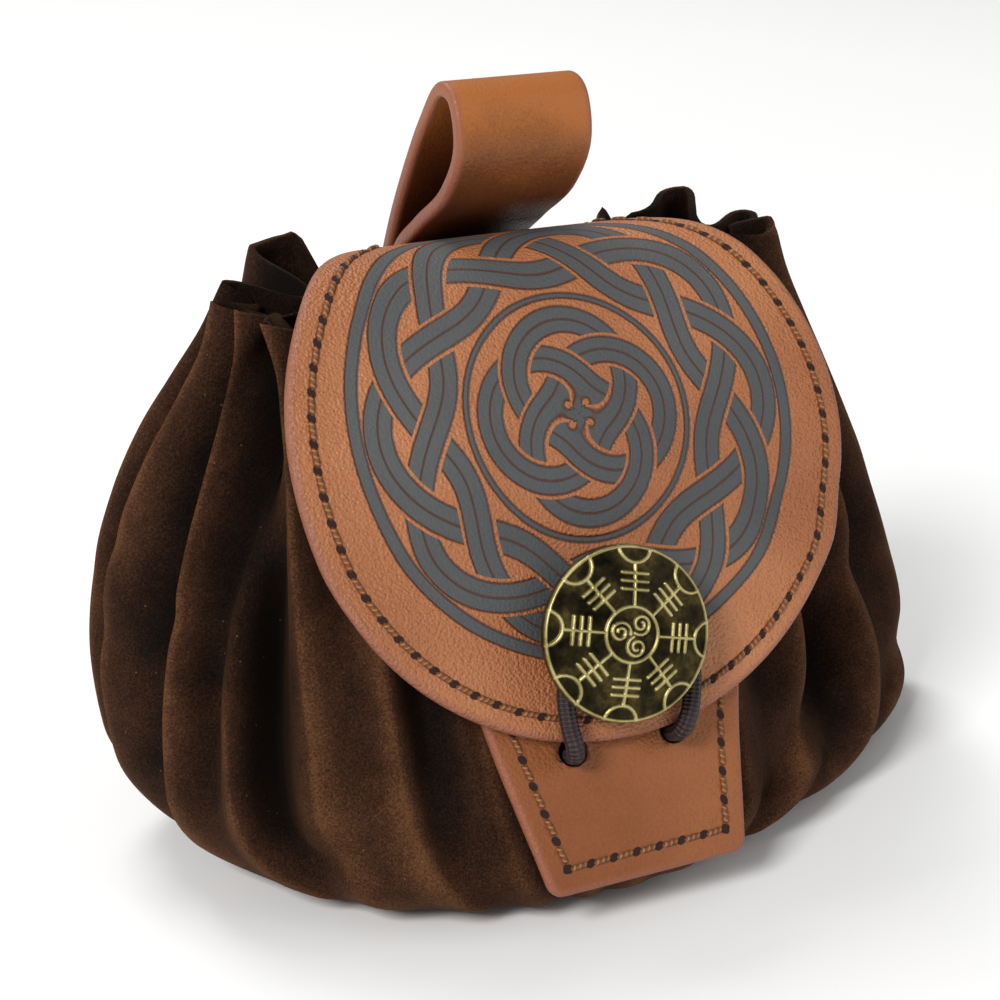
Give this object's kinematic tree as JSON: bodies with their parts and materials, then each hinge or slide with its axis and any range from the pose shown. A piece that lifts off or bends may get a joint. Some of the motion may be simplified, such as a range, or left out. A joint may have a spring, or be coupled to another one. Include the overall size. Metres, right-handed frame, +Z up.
{
  "type": "medieval belt pouch",
  "caption": "Gathered suede belt pouch with an open mouth, a round leather flap hooked shut by a cord on a cast button, and a belt loop.",
  "frame": {"origin": "middle of the flat base that the pouch rests on", "axes": "+Z up, -Y the way the flap and the button face, +X to the right of someone who looks at the front"},
  "size_m": [0.1731, 0.1064, 0.1379],
  "materials": {
    "suede": "napped dark brown suede",
    "leather": "satin tan full-grain leather",
    "antique_brass": "antiqued cast brass, dark in the hollows",
    "cord": "braided dark brown cord"
  },
  "bodies": {
    "root": {"suede_bag": "suede", "flap_and_back_panel": "leather", "front_tab": "leather", "belt_loop": "leather", "cast_button": "antique_brass", "button_screw": "antique_brass", "closing_cord": "cord"}
  },
  "joints": []
}
